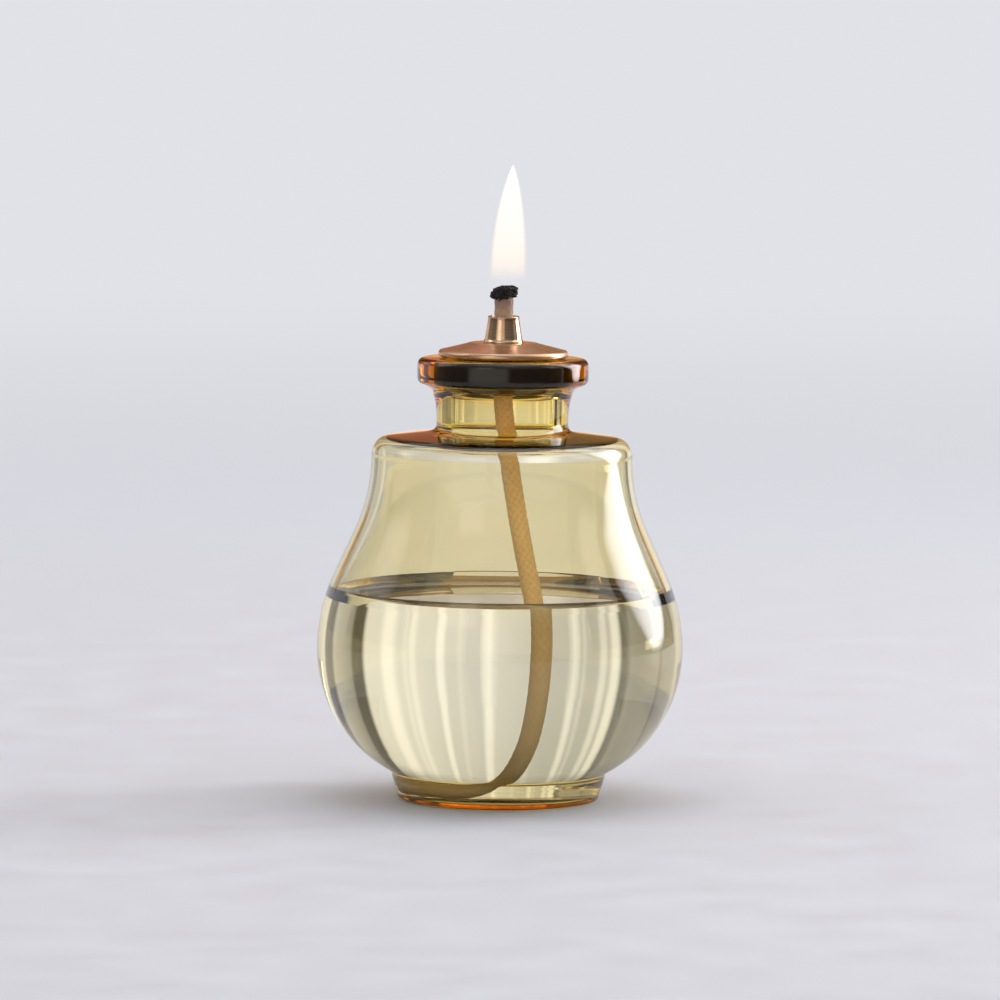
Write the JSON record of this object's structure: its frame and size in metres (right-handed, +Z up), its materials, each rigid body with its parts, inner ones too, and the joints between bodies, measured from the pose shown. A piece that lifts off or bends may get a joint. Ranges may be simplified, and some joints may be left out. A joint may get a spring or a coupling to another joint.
{
  "type": "oil lamp",
  "caption": "Small glass oil lamp: a round-bellied bottle on a foot, part-filled with oil, with a brass wick burner in a black stopper and a lit wick.",
  "frame": {"origin": "centre of the foot's flat underside, which rests on the table", "axes": "+Z up along the bottle's axis; the front, where the wick leans, is -Y"},
  "size_m": [0.0728, 0.0728, 0.1264],
  "materials": {
    "amber_glass": "gloss",
    "lamp_oil": "polished",
    "black_seal": "satin",
    "brass": "satin",
    "polished_brass": "polished",
    "wick_braid": "matte",
    "charred_wick": "matte",
    "flame": "matte"
  },
  "bodies": {
    "bottle": {"bottle": "amber_glass", "oil": "lamp_oil"},
    "stopper": {"stopper_seal": "black_seal"},
    "burner": {"cap_plate": "brass", "nozzle": "polished_brass", "wick_tube": "brass", "clamp_washer": "brass", "lock_nut": "brass"},
    "wick": {"wick": "wick_braid", "wick_tip": "charred_wick", "flame": "flame"}
  },
  "joints": [
    {"name": "burner_lift", "type": "slide", "parent": "bottle", "child": "stopper", "axis": [0, 0, 1], "range_m": [0, 0.1]},
    {"name": "burner_turn", "type": "hinge", "parent": "stopper", "child": "burner", "pos_m": [0, 0, 0.0895], "axis": [0, 0, 1], "continuous": true},
    {"name": "wick_feed", "type": "slide", "parent": "burner", "child": "wick", "axis": [0, 0, 1], "range_m": [-0.003, 0.006], "deforming": ["wick"]}
  ]
}
